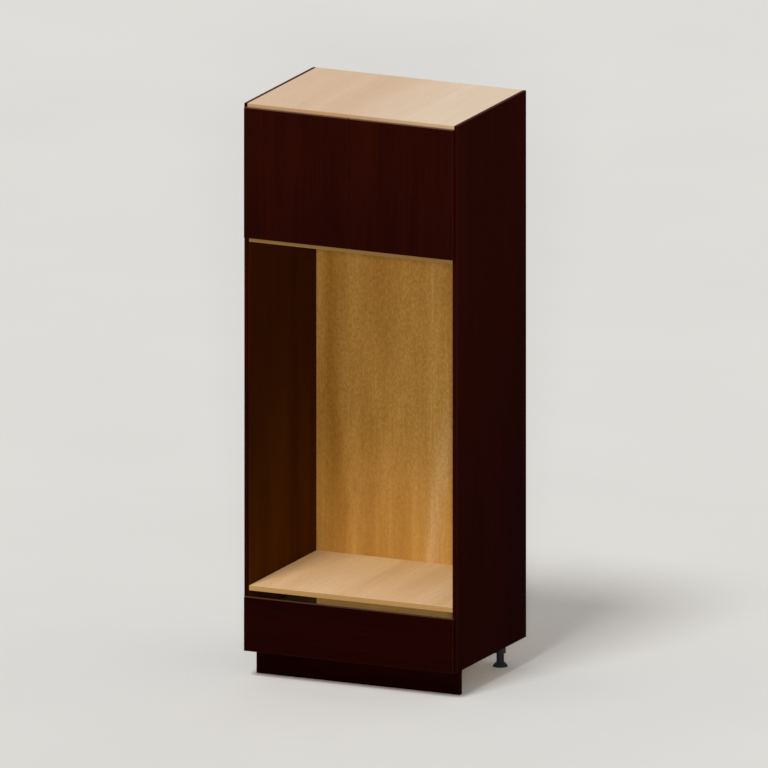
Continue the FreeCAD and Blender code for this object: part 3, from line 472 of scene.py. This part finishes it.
look_of_slot = {
    "pale_veneer": wood("pale_shelf", "y", SHELF_TONES, edge_along="x", edge_tint=SHELF_EDGE, fleck=0.03,
                        drifts=SHELF_PAINTED_LIGHT),
    "beech": wood("beech", "x", BEECH_TONES, figure=60.0, fibre=0.2),
    "zinc_steel": metal("zinc", linear(176, 178, 182), brushed="y"),
    "nickel": metal("nickel", linear(196, 192, 184), roughness=(0.16, 0.3), stain=0.15),
    "dark_painted_steel": paint("drawer_steel", linear(60, 21, 11)),
    "black_plastic": plastic("black_plastic", linear(30, 30, 31), roughness=(0.5, 0.7), shine=0.25),
    "grey_plastic": plastic("grey_plastic", linear(150, 150, 148)),
    "clear_rubber": plastic("clear_rubber", linear(196, 196, 190), roughness=(0.55, 0.75), shine=0.25),
}
for part in record["subparts"]:
    materials = nodes[part["node"]].data.materials
    materials.clear()
    materials.append(look_of_node.get(part["node"]) or look_of_slot[part["material_slot"]])


# Detail pieces. Their own sizes are in millimetres, and places in the cabinet are in metres.
SAME_SPOT = 1e-6
SMOOTH_ANGLE = math.radians(35)

# Corners in a round of each size
SMALL_ROUND = 16
MIDDLE_ROUND = 24
LARGE_ROUND = 32

# Screws: the thread's crest lies at a share of its pitch. Profiles are radii and heights, bottom first.
SCREW_RADIUS = 1.75
SCREW_ROOT = 1.15
SCREW_PITCH = 1.5
SCREW_CREST = 0.4
SCREW_POINT = 3.2
SCREW_NECK = 3.6
SCREW_HEAD = 2.0
SCREW_TIP = ((0.15, 0.0), (1.1, SCREW_POINT))
SCREW_TOP = ((1.5, -1.8), (1.6, 0.0), (3.35, 0.0), (3.5, 0.25), (3.35, 1.1), (2.9, 1.7), (2.4, SCREW_HEAD))

# Cross recesses: their reach, the half width of an arm, and their depth
SCREW_RECESS = (1.75, 0.42, 1.2)
CAM_RECESS = (3.6, 0.7, 2.2)
STRIKE_RECESS = (1.8, 0.42, 0.4)
ADJUSTER_RECESS = (1.7, 0.4, 0.9)
RECESS_TAPER = 0.72

# Rings of the cams, the plungers and the strike plates, as far in from their edge as given, and their heights
CAM_BEVEL = 0.4
CAM_SUNK = 0.4
CAM_RIM = ((0.0, -0.5), (0.5, 0.0), (1.6, 0.0), (1.9, -CAM_SUNK), (2.4, -CAM_SUNK))
PLUNGER_BEVEL = 0.3
PLUNGER_GROOVE = ((0.0, -4.0), (0.5, -3.7), (0.5, -3.0), (0.0, -2.7))
PLUNGER_TIP = ((0.0, -1.2), (0.35, -0.35), (1.2, 0.0))
STRIKE_BEVEL = 0.35
STRIKE_SUNK = 0.5
STRIKE_HOLE = 3.9
STRIKE_SCREW = 3.4

ADJUSTER_PROUD = 0.55
ADJUSTER_PROFILE = ((3.1, -2.0), (3.1, 0.0), (2.9, 0.35), (2.3, ADJUSTER_PROUD))
ADJUSTERS_FROM_BACK = (0.012, 0.041)

# Flat screw heads: how deep they sit, their recess's reach as a share of their radius and the half width of
# its arms, then the radius of each kind and how far it stands out
HEAD_SEAT = 0.3
HEAD_REACH = 0.55
HEAD_ARM = 0.4
CUP_SCREW = (3.0, 0.6)
CUP_SCREW_INSET = 0.006
RUNNER_SCREW = (3.4, 0.9)
RUNNER_SCREWS_FROM_FRONT = (0.035, 0.16, 0.29, 0.42)
RUNNER_STEEL = 0.0012

# The screw feet: how far each ring of the pad is in from its edge, its height, and how deep its flutes are.
# The thread's crest and flank are shares of its pitch, from the middle of the crest.
FOOT_PAD = (
    (1.2, 0.0, 0.0), (0.0, 0.8, 0.0), (0.0, 1.6, 0.0), (0.3, 2.2, 1.3), (0.6, 4.4, 1.3), (2.0, 5.4, 0.4),
)
FOOT_COLLAR = ((18.0, 13.2), (17.0, 14.0))
FOOT_FLUTES = 12
FOOT_CORNERS = 48
FOOT_BEVEL = 0.6
STEM_FOOT = 14.0
THREAD_START = 14.5
THREAD_END = 56.0
THREAD_PITCH = 4.0
THREAD_CORE = 12.6
THREAD_CREST = 13.9
THREAD_RINGS = 6
CREST_END = 0.125
FLANK_END = 0.375

RIB_OUTLINE = ((19.6, 95.2), (30.5, 95.2), (30.5, 94.0), (21.5, 84.5), (19.6, 84.5))
RIB_HALF = 1.1

BUMPER_RIM = 0.5
BUMPER_TIP = 0.3
BUMPER_ANGLES = (20, 40, 60, 78)


def nodes_named(start):
    return [name for name in nodes if name.startswith(start)]


def islands(name):
    """The corners of each separate solid in a node."""
    work = bmesh.new()
    work.from_mesh(nodes[name].data)
    bmesh.ops.remove_doubles(work, verts=work.verts, dist=SAME_SPOT)
    seen, groups = set(), []
    for first in work.verts:
        if first in seen:
            continue
        seen.add(first)
        group, waiting = [], [first]
        while waiting:
            corner = waiting.pop()
            group.append(corner.co.copy())
            for link in corner.link_edges:
                other = link.other_vert(corner)
                if other not in seen:
                    seen.add(other)
                    waiting.append(other)
        groups.append(group)
    work.free()
    return groups


def box_of(corners):
    """The lowest and highest corner of the box round some points."""
    low = Vector(min(corner[axis] for corner in corners) for axis in range(3))
    high = Vector(max(corner[axis] for corner in corners) for axis in range(3))
    return low, high


def spread(box):
    """A box's width, depth and height in millimetres."""
    low, high = box
    return (high - low) * MM


def spot_in(box, x=0.5, y=0.5, z=0.5):
    """A point in a box, by its share of the width, depth and height."""
    low, high = box
    return Vector(low[axis] + (high[axis] - low[axis]) * share for axis, share in enumerate((x, y, z)))


def inset(radius, profile):
    """A profile whose rings are given by how far they are in from a radius."""
    return [(radius - depth, height) for depth, height in profile]


def upright(spot, way):
    """A frame at a spot with its Z axis along a direction."""
    return Matrix.Translation(spot) @ Vector(way).to_track_quat("Z", "Y").to_matrix().to_4x4()


class Form:
    """Corners and faces of a mesh in progress. Sizes are in millimetres, about the piece's own Z axis."""

    def __init__(self):
        self.corners, self.faces = [], []

    def ring(self, reach, height, count):
        """A ring of corners, its radius given for each angle."""
        first = len(self.corners)
        for step in range(count):
            angle = 2 * math.pi * step / count
            radius = reach(angle)
            self.corners.append((radius * math.cos(angle), radius * math.sin(angle), height))
        return list(range(first, first + count))

    def skin(self, low, high):
        """Faces between two rings of as many corners."""
        for step in range(len(low)):
            after = (step + 1) % len(low)
            self.faces.append((low[step], low[after], high[after], high[step]))

    def cap(self, ring):
        self.faces.append(tuple(ring))

    def stack(self, rings):
        """Faces between rings from the bottom up, with the bottom closed."""
        self.cap(rings[0][::-1])
        for low, high in zip(rings, rings[1:]):
            self.skin(low, high)

    def lathe(self, profile, count):
        """Turns a list of (radius, height), bottom first, and closes its bottom. Returns the last ring."""
        rings = [self.ring(lambda angle: radius, height, count) for radius, height in profile]
        self.stack(rings)
        return rings[-1]

    def cross_cap(self, ring, height, recess):
        """Closes a ring, whose corners are a multiple of four, with a face that has a cross recess in it."""
        reach, half_width, depth = recess
        quarter = len(ring) // 4
        top, bottom = [], []
        for arm in range(4):
            along = Vector((math.cos(arm * math.pi / 2), math.sin(arm * math.pi / 2), 0))
            side = Vector((-along.y, along.x, 0)) * half_width
            for spot in (along * reach - side, along * reach + side, along * half_width + side):
                for group, share, level in ((top, 1.0, height), (bottom, RECESS_TAPER, height - depth)):
                    group.append(len(self.corners))
                    self.corners.append((spot.x * share, spot.y * share, level))
        self.skin(top, bottom)
        self.cap(bottom)
        for arm in range(4):
            start, end, notch = top[arm * 3:arm * 3 + 3]
            next_start = top[(arm * 3 + 3) % len(top)]
            outer = [ring[(arm * quarter + step) % len(ring)] for step in range(quarter + 1)]
            self.faces.append((*outer, next_start, notch, end))
            self.faces.append((start, outer[0], end))

    def placed(self, frames):
        """The form's corners and faces once for each frame, in metres."""
        corners, faces = [], []
        for place in frames:
            first = len(corners)
            corners += [place @ (Vector(corner) / MM) for corner in self.corners]
            faces += [tuple(first + corner for corner in face) for face in self.faces]
        return corners, faces


def add_piece(name, body, slot, parts, stands_for=None):
    """One object from several sets of corners and faces, which rides on a body and may stand for a node."""
    corners, faces = [], []
    for more_corners, more_faces in parts:
        first = len(corners)
        corners += more_corners
        faces += [tuple(first + corner for corner in face) for face in more_faces]
    mesh = bpy.data.meshes.new(name)
    mesh.from_pydata(corners, [], faces)
    mesh.materials.append(look_of_slot[slot])
    work = bmesh.new()
    work.from_mesh(mesh)
    bmesh.ops.recalc_face_normals(work, faces=work.faces)
    work.to_mesh(mesh)
    work.free()
    mesh.shade_smooth()
    mesh.set_sharp_from_angle(angle=SMOOTH_ANGLE)
    piece = bpy.data.objects.new(name, mesh)
    bpy.context.scene.collection.objects.link(piece)
    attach(piece, body)
    if stands_for:
        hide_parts(stands_for)


def replace_node(name, slot, parts):
    """A detailed piece in the place of a node, on the node's body."""
    add_piece(f"{name}_detail", body_of_node[name], slot, parts, stands_for=name)


def screw_frames(name):
    """A frame at each screw's seat, Z out of its head, with the screw's length in millimetres."""
    found = []
    for group in islands(name):
        low, high = box_of(group)
        size, middle = high - low, (low + high) / 2
        axis = max(range(3), key=lambda index: size[index])
        others = [index for index in range(3) if index != axis]
        rim = max(group, key=lambda corner: sum((corner[index] - middle[index]) ** 2 for index in others))
        way = Vector((0, 0, 0))
        way[axis] = 1.0 if rim[axis] > middle[axis] else -1.0
        seat = middle + way * (size[axis] / 2 - SCREW_HEAD / MM)
        found.append((upright(seat, way), round(size[axis] * MM - SCREW_HEAD)))
    return found


def detailed_screws(name):
    """Cross-recessed screws with a thread and a point, in place of plain rods with heads."""
    by_length = {}
    for place, length in screw_frames(name):
        by_length.setdefault(length, []).append(place)
    parts = []
    for length, places in by_length.items():
        profile = [(radius, height - length) for radius, height in SCREW_TIP]
        height = SCREW_POINT - length
        while height < -SCREW_NECK:
            profile.append((SCREW_RADIUS, height + SCREW_CREST * SCREW_PITCH))
            profile.append((SCREW_ROOT, height + SCREW_PITCH))
            height += SCREW_PITCH
        form = Form()
        form.cross_cap(form.lathe([*profile, *SCREW_TOP], SMALL_ROUND), SCREW_HEAD, SCREW_RECESS)
        parts.append(form.placed(places))
    replace_node(name, "zinc_steel", parts)


def detailed_cams():
    """Cam housings with a rounded rim and a cross recess in the face that shows under the shelf."""
    boxes = [box_of(group) for group in islands("cams")]
    size = spread(boxes[0])
    radius, height = size.x / 2, size.z
    inner_end = ((CAM_BEVEL, -height), (0.0, -height + CAM_BEVEL))
    form = Form()
    rim = form.lathe(inset(radius, (*inner_end, *CAM_RIM)), MIDDLE_ROUND)
    form.cross_cap(rim, -CAM_SUNK, CAM_RECESS)
    places = [upright(spot_in(box, z=0), (0, 0, -1)) for box in boxes]
    replace_node("cams", "zinc_steel", [form.placed(places)])


def detailed_foot(name):
    """A screw foot with a fluted rim, and a coarse helical thread where the stem shows."""
    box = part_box(name)
    size = spread(box)
    radius, top = size.x / 2, size.z
    form = Form()

    def fluted(outer, height, depth=0.0):
        def reach(angle):
            return outer - depth * (0.5 + 0.5 * math.cos(FOOT_FLUTES * angle)) ** 2
        return form.ring(reach, height, FOOT_CORNERS)

    def threaded(height):
        def reach(angle):
            from_crest = abs((height / THREAD_PITCH - angle / (2 * math.pi)) % 1.0 - 0.5)
            share = min(1.0, max(0.0, (FLANK_END - from_crest) / (FLANK_END - CREST_END)))
            return THREAD_CORE + (THREAD_CREST - THREAD_CORE) * share
        return form.ring(reach, height, FOOT_CORNERS)

    rings = [fluted(radius - inset, height, depth) for inset, height, depth in FOOT_PAD]
    rings += [fluted(*collar) for collar in FOOT_COLLAR]
    rings.append(fluted(THREAD_CORE, STEM_FOOT))
    ring_count = int((THREAD_END - THREAD_START) / THREAD_PITCH * THREAD_RINGS)
    rings += [threaded(THREAD_START + step * THREAD_PITCH / THREAD_RINGS) for step in range(ring_count)]
    rings.append(fluted(THREAD_CORE, THREAD_END))
    rings.append(fluted(THREAD_CORE, top - FOOT_BEVEL))
    rings.append(fluted(THREAD_CORE - FOOT_BEVEL, top))
    form.stack(rings)
    form.cap(rings[-1])
    replace_node(name, "black_plastic", [form.placed([Matrix.Translation(spot_in(box, z=0))])])


def detailed_plunger(name):
    """A latch plunger with a rounded tip and a groove behind it."""
    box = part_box(name)
    size = spread(box)
    radius, length = size.x / 2, size.y
    inner_end = ((PLUNGER_BEVEL, -length), (0.0, -length + PLUNGER_BEVEL))
    form = Form()
    form.cap(form.lathe(inset(radius, (*inner_end, *PLUNGER_GROOVE, *PLUNGER_TIP)), LARGE_ROUND))
    replace_node(name, "grey_plastic", [form.placed([upright(spot_in(box, y=0), (0, -1, 0))])])


def detailed_strike(name):
    """A strike plate with a chamfer and a sunk screw."""
    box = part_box(name)
    size = spread(box)
    radius, thick = size.x / 2, size.y
    plate = inset(radius, ((0.0, 0.0), (0.0, thick - STRIKE_BEVEL), (STRIKE_BEVEL, thick)))
    hole = ((STRIKE_HOLE, thick), (STRIKE_SCREW, thick - STRIKE_SUNK))
    form = Form()
    rim = form.lathe([*plate, *hole], LARGE_ROUND)
    form.cross_cap(rim, thick - STRIKE_SUNK, STRIKE_RECESS)
    replace_node(name, "zinc_steel", [form.placed([upright(spot_in(box, y=0), (0, 1, 0))])])


def adjusting_screws(side, inward):
    """The two adjusting screws in each hinge arm, let into its inner face."""
    form = Form()
    form.cross_cap(form.lathe(ADJUSTER_PROFILE, SMALL_ROUND), ADJUSTER_PROUD, ADJUSTER_RECESS)
    places = []
    for level in ("lower", "upper"):
        corner = spot_in(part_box(f"hinge_arm_{side}_{level}"), x=1 if inward > 0 else 0, y=1)
        places += [upright(corner - Vector((0, back, 0)), (inward, 0, 0)) for back in ADJUSTERS_FROM_BACK]
    add_piece(f"hinge_screws_{side}", "carcass", "zinc_steel", [form.placed(places)])


def flat_heads(name, body, places, size):
    """Low round screw heads with a cross recess, seated on a face."""
    radius, proud = size
    form = Form()
    profile = inset(radius, ((0.0, -HEAD_SEAT), (0.0, proud * 0.4), (0.35, proud * 0.85), (0.9, proud)))
    form.cross_cap(form.lathe(profile, MIDDLE_ROUND), proud, (radius * HEAD_REACH, HEAD_ARM, proud))
    add_piece(name, body, "zinc_steel", [form.placed(places)])


def cup_screws(side):
    """The screws at the top and bottom of each hinge cup's flange."""
    places = []
    for level in ("lower", "upper"):
        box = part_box(f"hinge_cup_{side}_{level}")
        for end, inset in ((0, CUP_SCREW_INSET), (1, -CUP_SCREW_INSET)):
            places.append(upright(spot_in(box, y=1, z=end) + Vector((0, 0, inset)), (0, 1, 0)))
    flat_heads(f"hinge_cup_screws_{side}", f"door_{side}", places, CUP_SCREW)


def runner_screws(side, outward):
    """The screws that hold a runner's drawer member to the drawer, with their heads inside its channel."""
    corner = spot_in(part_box(f"runner_drawer_{side}"), x=1 if outward < 0 else 0, y=0)
    web = corner + Vector((outward * RUNNER_STEEL, 0, 0))
    places = [upright(web + Vector((0, front, 0)), (outward, 0, 0)) for front in RUNNER_SCREWS_FROM_FRONT]
    flat_heads(f"runner_screws_{side}", "drawer", places, RUNNER_SCREW)


def socket_ribs(name):
    """Gussets that brace a leg's socket against its flange."""
    form = Form()
    for shift in (-RIB_HALF, RIB_HALF):
        form.corners += [(across, shift, height) for across, height in RIB_OUTLINE]
    count = len(RIB_OUTLINE)
    front, back = list(range(count)), list(range(count, 2 * count))
    form.cap(front)
    form.cap(back[::-1])
    form.skin(front, back)
    middle = spot_in(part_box(name))
    axis = Matrix.Translation((middle.x, middle.y, 0))
    places = [axis @ Matrix.Rotation(quarter * math.pi / 2, 4, "Z") for quarter in range(4)]
    add_piece(f"{name}_ribs", "carcass", "black_plastic", [form.placed(places)])


def detailed_bumpers():
    """Self-adhesive domes behind the drawer front."""
    parts = []
    for group in islands("drawer_bumpers"):
        box = box_of(group)
        size = spread(box)
        radius, thick = size.x / 2, size.y
        profile = [(radius, 0.0), (radius, BUMPER_RIM)]
        for angle in map(math.radians, BUMPER_ANGLES):
            profile.append((radius * math.cos(angle), BUMPER_RIM + (thick - BUMPER_RIM) * math.sin(angle)))
        form = Form()
        form.cap(form.lathe([*profile, (BUMPER_TIP, thick)], MIDDLE_ROUND))
        parts.append(form.placed([upright(spot_in(box, y=0), (0, 1, 0))]))
    replace_node("drawer_bumpers", "clear_rubber", parts)


for screw_node in ("fitting_screws", "back_screws", "drawer_screws"):
    detailed_screws(screw_node)
detailed_cams()
for name in nodes_named("levelling_foot"):
    detailed_foot(name)
for side in SIDES:
    detailed_plunger(f"latch_plunger_{side}")
    detailed_strike(f"strike_plate_{side}")
for side, sign in SIDES.items():
    adjusting_screws(side, -sign)
for side, sign in SIDES.items():
    cup_screws(side)
    runner_screws(side, sign)
for name in nodes_named("leg_socket"):
    socket_ribs(name)
detailed_bumpers()


# Edges of the nodes that stay, with lengths in metres. A corner of a board is where faces square to all three
# axes meet, and corners closer than the last digit of a place count as one.
JOIN_REACH = 1e-5
FLAT_ANGLE = math.radians(0.5)
SQUARE = 0.9999
PLACE_DIGITS = 5
SHARP_ANGLE = math.radians(50)
EDGE_SEGMENTS = 2
BOARD_EDGE = 0.0005
BOARDS = ("side_panel_left", "side_panel_right", "top_panel", "cupboard_floor", "niche_shelf", "bottom_panel",
          "plinth_board", "hanging_rail", "drawer_back", "drawer_base")
FRONTS = ("door_left", "door_right", "drawer_front")
FITTING_EDGES = {
    "latch_housing": 0.0006, "drawer_side": 0.0004, "runner": 0.0003, "drawer_brackets": 0.0003,
    "hinge_plate": 0.0003, "leg_socket": 0.0004, "plinth_clips": 0.0004,
}


def joined(name):
    """A node whose faces share their corners, with each flat side as one face."""
    piece = nodes[name]
    piece.modifiers.new("weld", "WELD").merge_threshold = JOIN_REACH
    merge = piece.modifiers.new("merge", "DECIMATE")
    merge.decimate_type = "DISSOLVE"
    merge.angle_limit = FLAT_ANGLE
    return piece


def bevelled(piece, width):
    bevel = piece.modifiers.new("bevel", "BEVEL")
    bevel.width = width
    bevel.segments = EDGE_SEGMENTS
    bevel.use_clamp_overlap = False
    return bevel


def soften(name, width):
    """Breaks a board's long edges, as sanding does, and leaves its bores alone."""
    board = joined(name)

    def spot(index):
        return tuple(round(value, PLACE_DIGITS) for value in board.data.vertices[index].co)

    axes_at = {}
    for face in board.data.polygons:
        square_to = {axis for axis in range(3) if abs(face.normal[axis]) > SQUARE}
        for index in face.vertices:
            axes_at.setdefault(spot(index), set()).update(square_to)
    indices = range(len(board.data.vertices))
    corners = [index for index in indices if len(axes_at.get(spot(index), ())) == 3]
    board.vertex_groups.new(name="corners").add(corners, 1.0, "REPLACE")
    bevel = bevelled(board, width)
    bevel.limit_method = "VGROUP"
    bevel.vertex_group = "corners"


def ease(name, width):
    """Rounds the sharp edges of a pressed or moulded piece."""
    bevel = bevelled(joined(name), width)
    bevel.limit_method = "ANGLE"
    bevel.angle_limit = SHARP_ANGLE


for board_name in BOARDS:
    soften(board_name, BOARD_EDGE)
for start, width in FITTING_EDGES.items():
    for name in nodes_named(start):
        ease(name, width)
for front_name in FRONTS:
    joined(front_name)


# Floor, light and camera
AZIMUTH = math.radians(24.64)
ELEVATION = math.radians(13.87)
VIEW_SIZE = 2.746
CAMERA_DISTANCE = 8.0
GROUND_REACH = 40.0
GROUND_TONES = (linear(224, 223, 220), linear(227, 226, 223))
SKY_TINT = (1.0, 0.985, 0.96, 1)
SKY_STRENGTH = 0.43
KEY_TOWARD = Vector((-0.05, -0.5, 0.866))
KEY_ANGLE = math.radians(16)
KEY_STRENGTH = 1.65
FILL_ANGLE = math.radians(4)
FILL_STRENGTH = 1.2


def pale_floor():
    mesh = bpy.data.meshes.new("floor")
    corners = [(-GROUND_REACH, -GROUND_REACH, 0), (GROUND_REACH, -GROUND_REACH, 0),
               (GROUND_REACH, GROUND_REACH, 0), (-GROUND_REACH, GROUND_REACH, 0)]
    mesh.from_pydata(corners, [], [(0, 1, 2, 3)])
    floor = bpy.data.objects.new("floor", mesh)
    bpy.context.scene.collection.objects.link(floor)
    look = Look("floor", roughness=0.8, Specular_IOR_Level=0.1)
    uneven = look.noise(look.place, scale=0.8, detail=3.0)
    mesh.materials.append(look.finish(look.ramp(uneven, list(zip(MOST, GROUND_TONES)))))


def far_light(name, toward, angle, strength):
    """Even light from far off, in the direction that points back at it."""
    data = bpy.data.lights.new(name, "SUN")
    data.angle = angle
    data.energy = strength
    lamp = bpy.data.objects.new(name, data)
    bpy.context.scene.collection.objects.link(lamp)
    lamp.rotation_euler = toward.to_track_quat("Z", "Y").to_euler()


def sky():
    world = bpy.data.worlds.new("sky")
    world.use_nodes = True
    background = world.node_tree.nodes["Background"]
    background.inputs["Color"].default_value = SKY_TINT
    background.inputs["Strength"].default_value = SKY_STRENGTH
    bpy.context.scene.world = world


def camera_toward(toward):
    """A camera without perspective, aimed at the middle of the cabinet."""
    data = bpy.data.cameras.new("camera")
    data.type = "ORTHO"
    data.ortho_scale = VIEW_SIZE
    camera = bpy.data.objects.new("camera", data)
    bpy.context.scene.collection.objects.link(camera)
    camera.location = (cad_box[0] + cad_box[1]) / 2 + toward * CAMERA_DISTANCE
    camera.rotation_euler = (-toward).to_track_quat("-Z", "Y").to_euler()
    bpy.context.scene.camera = camera


viewer = Vector((math.sin(AZIMUTH) * math.cos(ELEVATION), -math.cos(AZIMUTH) * math.cos(ELEVATION),
                 math.sin(ELEVATION)))
pale_floor()
sky()
far_light("key", KEY_TOWARD, KEY_ANGLE, KEY_STRENGTH)
far_light("fill", viewer, FILL_ANGLE, FILL_STRENGTH)
camera_toward(viewer)
bpy.context.scene.view_settings.view_transform = "Standard"
